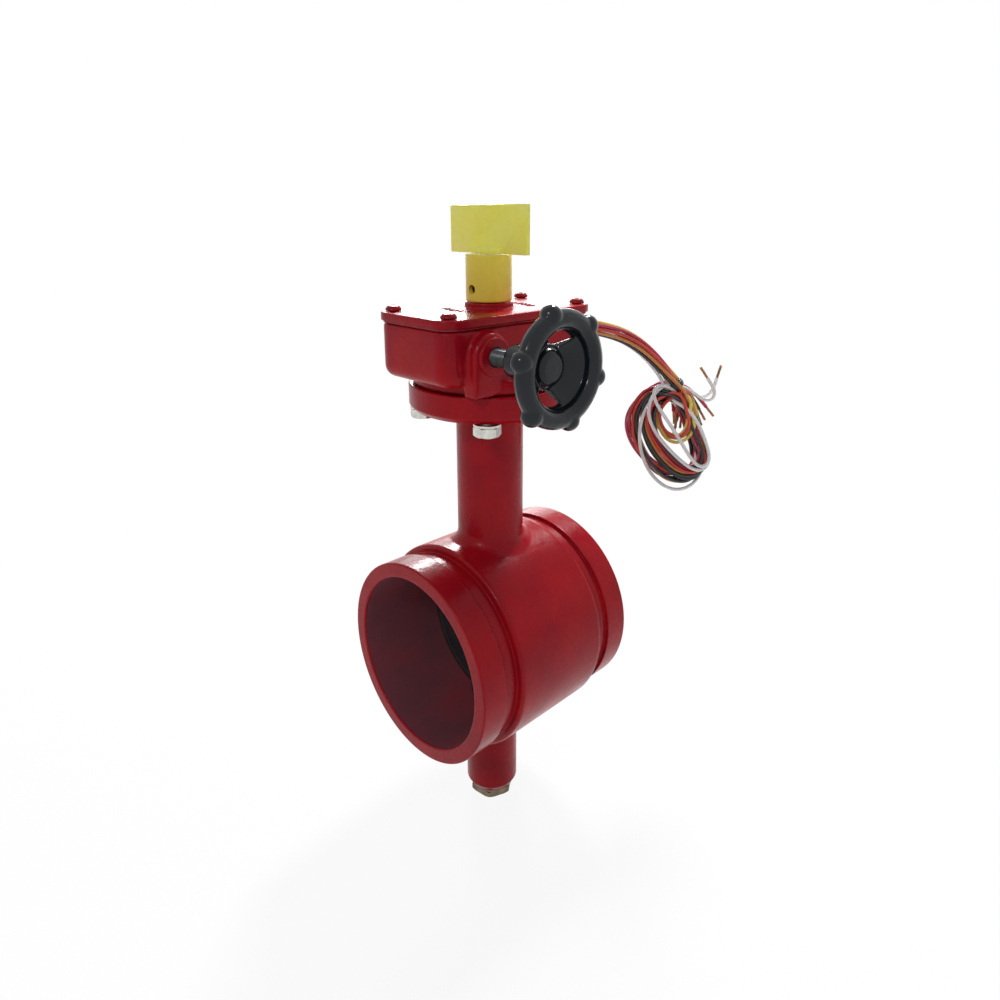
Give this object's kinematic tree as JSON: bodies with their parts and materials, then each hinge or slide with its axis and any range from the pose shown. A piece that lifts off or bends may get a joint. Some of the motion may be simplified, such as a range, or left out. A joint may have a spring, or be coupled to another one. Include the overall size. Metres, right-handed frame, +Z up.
{
  "type": "supervised butterfly valve",
  "caption": "Grooved-end butterfly valve with worm gear operator, handwheel, position flag and supervisory switch leads, for fire mains.",
  "frame": {"origin": "where the pipe axis crosses the stem axis, at the centre of the disc", "axes": "+X along the pipe towards the outlet end, -Y towards the handwheel, +Z up the stem towards the position flag"},
  "size_m": [0.2176, 0.1428, 0.3622],
  "materials": {
    "red_paint": "glossy enamel over rough casting",
    "dark_red_paint": "glossy enamel",
    "yellow_paint": "glossy enamel",
    "black_enamel": "glossy enamel",
    "zinc_steel": "zinc plated",
    "dark_steel": "oiled machined steel",
    "brass": "dull",
    "bronze": "machined",
    "black_rubber": "moulded",
    "black_plastic": "moulded",
    "lead_insulation": "thin wire insulation in several colours"
  },
  "bodies": {
    "valve": {"valve_body": "red_paint", "gear_housing": "red_paint", "housing_cover": "red_paint", "cover_screw_1": "dark_red_paint", "cover_screw_2": "dark_red_paint", "cover_screw_3": "dark_red_paint", "cover_screw_4": "dark_red_paint", "flange_bolt_1": "zinc_steel", "flange_bolt_2": "zinc_steel", "flange_bolt_3": "zinc_steel", "flange_bolt_4": "zinc_steel", "flange_washer_1": "zinc_steel", "flange_washer_2": "zinc_steel", "flange_washer_3": "zinc_steel", "flange_washer_4": "zinc_steel", "travel_stop_open": "zinc_steel", "travel_stop_closed": "zinc_steel", "stop_lock_nut_open": "zinc_steel", "stop_lock_nut_closed": "zinc_steel", "switch_bracket": "zinc_steel", "bracket_screw_1": "zinc_steel", "bracket_screw_2": "zinc_steel", "switch_screw_low": "zinc_steel", "switch_screw_high": "zinc_steel", "worm_end_cap": "dark_steel", "bottom_plug": "brass", "bottom_plug_washer": "brass", "lower_neck_bushing": "bronze", "upper_neck_bushing": "bronze", "bottom_bushing": "bronze", "worm_bushing_front": "bronze", "worm_bushing_rear": "bronze", "neck_seal_lower": "black_rubber", "neck_seal_upper": "black_rubber", "bottom_stem_seal": "black_rubber", "cover_gasket": "black_rubber", "indicator_stem_seal": "black_rubber", "worm_shaft_seal": "black_rubber", "supervisory_switch_1": "black_plastic", "supervisory_switch_2": "black_plastic", "lead_bushing": "black_plastic", "lead_bundle": "lead_insulation", "lead_hank": "lead_insulation"},
    "disc_train": {"rubber_faced_disc": "black_rubber", "disc_pin_upper": "zinc_steel", "disc_pin_lower": "zinc_steel", "upper_stem": "zinc_steel", "lower_stem": "zinc_steel", "wheel_key": "dark_steel", "worm_wheel_sector": "dark_steel", "switch_cam": "brass", "cam_set_screw": "dark_steel", "indicator_sleeve": "yellow_paint", "indicator_pin": "dark_steel", "indicator_flag": "yellow_paint"},
    "handwheel_train": {"worm_shaft": "dark_steel", "handwheel": "black_enamel", "handwheel_pin": "zinc_steel"},
    "plunger_1": {"switch_plunger_1": "zinc_steel"},
    "plunger_2": {"switch_plunger_2": "zinc_steel"}
  },
  "joints": [
    {"name": "disc_turn", "type": "hinge", "parent": "valve", "child": "disc_train", "pos_m": [0, 0, 0], "axis": [0, 0, -1], "range_deg": [0, 90]},
    {"name": "worm_turn", "type": "hinge", "parent": "valve", "child": "handwheel_train", "pos_m": [-0.0295, 0, 0.1736], "axis": [0, -1, 0], "range_deg": [0, 2700]},
    {"name": "plunger_1_press", "type": "slide", "parent": "valve", "child": "plunger_1", "axis": [1, 0, 0], "range_m": [0, 0.0012], "stiffness_N_per_m": 400},
    {"name": "plunger_2_press", "type": "slide", "parent": "valve", "child": "plunger_2", "axis": [1, 0, 0], "range_m": [0, 0.0012], "stiffness_N_per_m": 400}
  ],
  "couplings": [
    {"joint": "worm_turn", "follows": "disc_turn", "ratio": 30}
  ]
}
